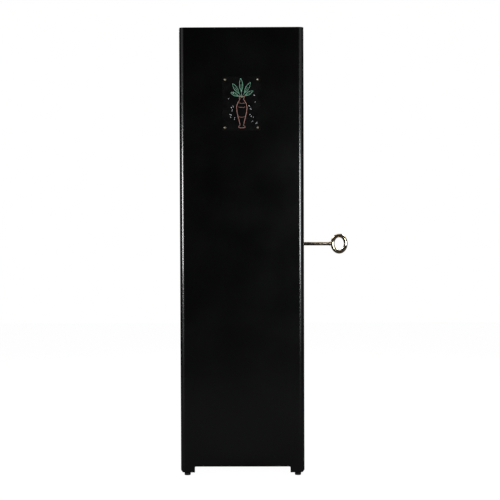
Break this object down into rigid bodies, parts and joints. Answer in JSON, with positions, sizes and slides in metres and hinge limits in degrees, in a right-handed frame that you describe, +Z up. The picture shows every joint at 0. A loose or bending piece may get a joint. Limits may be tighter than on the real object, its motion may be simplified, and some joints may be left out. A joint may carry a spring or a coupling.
{
  "type": "grandfather clock",
  "caption": "Tall black lacquered floor clock with a glazed door, weight-driven movement, seconds pendulum, rear plaque and a large brass key in the side.",
  "frame": {"origin": "on the floor under the middle of the case", "axes": "+Z up; the dial faces -Y and the plaque faces +Y; the key is on the -X side"},
  "size_m": [0.828, 0.3286, 2.15],
  "materials": {
    "lacquer": "satin black lacquer",
    "plaque": "black lacquered panel with a printed sprig",
    "inner_wood": "black stained",
    "glazing_bead": "black satin",
    "glass": "clear",
    "brass_trim": "polished",
    "screw_brass": "pale satin",
    "key_brass": "polished",
    "movement_brass": "brushed and lacquered",
    "steel": "brushed",
    "lock_iron": "black",
    "dial_black": "matt black",
    "dial_marks": "satin",
    "hands": "polished",
    "pendulum_wood": "dark varnish",
    "bob_brass": "polished",
    "weight_brass": "polished",
    "line": "twisted wire",
    "foot_plastic": "moulded"
  },
  "bodies": {
    "case": {"side_panel_right": "lacquer", "side_panel_left": "lacquer", "back_panel": "lacquer", "top_panel": "lacquer", "bottom_panel": "inner_wood", "front_plinth": "lacquer", "corner_blocks": "inner_wood", "threaded_inserts": "steel", "plaque": "plaque", "plaque_screws": "screw_brass", "key_bush": "brass_trim", "lock_case": "lock_iron", "case_screws": "steel", "hinge_leaves_case": "brass_trim", "hinge_pins": "steel", "seatboard": "inner_wood", "seatboard_cheeks": "inner_wood", "front_plate": "movement_brass", "back_plate": "movement_brass", "plate_pillars": "movement_brass", "plate_nuts": "steel", "movement_screws": "steel", "back_cock": "movement_brass", "dial_plate": "dial_black", "chapter_ring": "dial_marks", "weight_line": "line"},
    "door": {"door_panel": "lacquer", "dial_bezel": "brass_trim", "dial_glass": "glass", "dial_glass_ring": "glazing_bead", "trunk_trim": "brass_trim", "trunk_glass": "glass", "trunk_glass_bead": "glazing_bead", "strike": "brass_trim", "hinge_leaves_door": "brass_trim", "door_screws": "steel"},
    "lock": {"lock_cam": "steel"},
    "key": {"key": "key_brass"},
    "minute_arbor": {"centre_wheel": "movement_brass", "cannon_pinion": "steel", "minute_hand": "hands"},
    "hour_wheel": {"hour_wheel": "movement_brass", "hour_hand": "hands"},
    "minute_wheel": {"minute_wheel": "movement_brass"},
    "third_arbor": {"third_wheel": "movement_brass"},
    "escape_arbor": {"escape_wheel": "movement_brass", "seconds_hand": "hands"},
    "great_wheel": {"great_wheel": "movement_brass"},
    "barrel": {"barrel": "movement_brass"},
    "anchor": {"anchor": "steel"},
    "pendulum": {"suspension_spring": "steel", "pendulum_rod": "pendulum_wood", "pendulum_bob": "bob_brass"},
    "rating_nut": {"rating_nut": "bob_brass"},
    "weight": {"weight": "weight_brass"},
    "pulley": {"weight_pulley": "movement_brass"},
    "foot_front_right": {"foot_front_right": "foot_plastic"},
    "foot_front_left": {"foot_front_left": "foot_plastic"},
    "foot_rear_right": {"foot_rear_right": "foot_plastic"},
    "foot_rear_left": {"foot_rear_left": "foot_plastic"}
  },
  "joints": [
    {"name": "door_swing", "type": "hinge", "parent": "case", "child": "door", "pos_m": [0.3015, -0.1365, 1], "axis": [0, 0, 1], "range_deg": [0, 110]},
    {"name": "lock_turn", "type": "hinge", "parent": "case", "child": "lock", "pos_m": [-0.25, -0.095, 1.111], "axis": [1, 0, 0], "range_deg": [-90, 0]},
    {"name": "key_pull", "type": "slide", "parent": "lock", "child": "key", "axis": [-1, 0, 0], "range_m": [0, 0.06]},
    {"name": "hands_turn", "type": "hinge", "parent": "case", "child": "minute_arbor", "pos_m": [0, -0.094, 1.8], "axis": [0, 1, 0], "continuous": true},
    {"name": "hour_turn", "type": "hinge", "parent": "case", "child": "hour_wheel", "pos_m": [0, -0.094, 1.8], "axis": [0, 1, 0], "continuous": true},
    {"name": "minute_wheel_turn", "type": "hinge", "parent": "case", "child": "minute_wheel", "pos_m": [-0.0288, -0.097, 1.8], "axis": [0, 1, 0], "continuous": true},
    {"name": "great_wheel_turn", "type": "hinge", "parent": "case", "child": "great_wheel", "pos_m": [0, -0.044, 1.7376], "axis": [0, 1, 0], "continuous": true},
    {"name": "third_turn", "type": "hinge", "parent": "case", "child": "third_arbor", "pos_m": [0.01628, -0.094, 1.83741], "axis": [0, 1, 0], "continuous": true},
    {"name": "escape_turn", "type": "hinge", "parent": "case", "child": "escape_arbor", "pos_m": [0, -0.094, 1.868], "axis": [0, 1, 0], "continuous": true},
    {"name": "weight_drop", "type": "slide", "parent": "case", "child": "weight", "axis": [0, 0, -1], "range_m": [-0.26, 0.95], "deforming": ["weight_line"]},
    {"name": "barrel_turn", "type": "hinge", "parent": "case", "child": "barrel", "pos_m": [0, -0.074, 1.7376], "axis": [0, 1, 0], "range_deg": [-4300, 1200]},
    {"name": "pulley_turn", "type": "hinge", "parent": "weight", "child": "pulley", "pos_m": [0, -0.074, 1.3308], "axis": [0, 1, 0], "range_deg": [-2150, 600]},
    {"name": "pendulum_swing", "type": "hinge", "parent": "case", "child": "pendulum", "pos_m": [0, 0.005, 1.902], "axis": [0, 1, 0], "range_deg": [-2.5, 2.5]},
    {"name": "anchor_rock", "type": "hinge", "parent": "case", "child": "anchor", "pos_m": [0, -0.044, 1.902], "axis": [0, 1, 0], "range_deg": [-2.5, 2.5]},
    {"name": "rating_nut_turn", "type": "hinge", "parent": "pendulum", "child": "rating_nut", "pos_m": [0, 0.005, 0.821], "axis": [0, 0, 1], "range_deg": [-720, 720]},
    {"name": "foot_turn_front_right", "type": "hinge", "parent": "case", "child": "foot_front_right", "pos_m": [0.2665, -0.123, 0], "axis": [0, 0, 1], "range_deg": [-720, 720]},
    {"name": "foot_turn_front_left", "type": "hinge", "parent": "case", "child": "foot_front_left", "pos_m": [-0.2665, -0.123, 0], "axis": [0, 0, 1], "range_deg": [-720, 720]},
    {"name": "foot_turn_rear_right", "type": "hinge", "parent": "case", "child": "foot_rear_right", "pos_m": [0.2665, 0.1285, 0], "axis": [0, 0, 1], "range_deg": [-720, 720]},
    {"name": "foot_turn_rear_left", "type": "hinge", "parent": "case", "child": "foot_rear_left", "pos_m": [-0.2665, 0.1285, 0], "axis": [0, 0, 1], "range_deg": [-720, 720]}
  ],
  "couplings": [
    {"joint": "hour_turn", "follows": "hands_turn", "ratio": 0.083333},
    {"joint": "minute_wheel_turn", "follows": "hands_turn", "ratio": -0.33333},
    {"joint": "great_wheel_turn", "follows": "hands_turn", "ratio": -0.083333},
    {"joint": "third_turn", "follows": "hands_turn", "ratio": -7.5},
    {"joint": "escape_turn", "follows": "hands_turn", "ratio": 60},
    {"joint": "barrel_turn", "follows": "weight_drop", "rad_per_m": -78.431},
    {"joint": "pulley_turn", "follows": "weight_drop", "rad_per_m": -39.216},
    {"joint": "anchor_rock", "follows": "pendulum_swing", "ratio": 1}
  ]
}
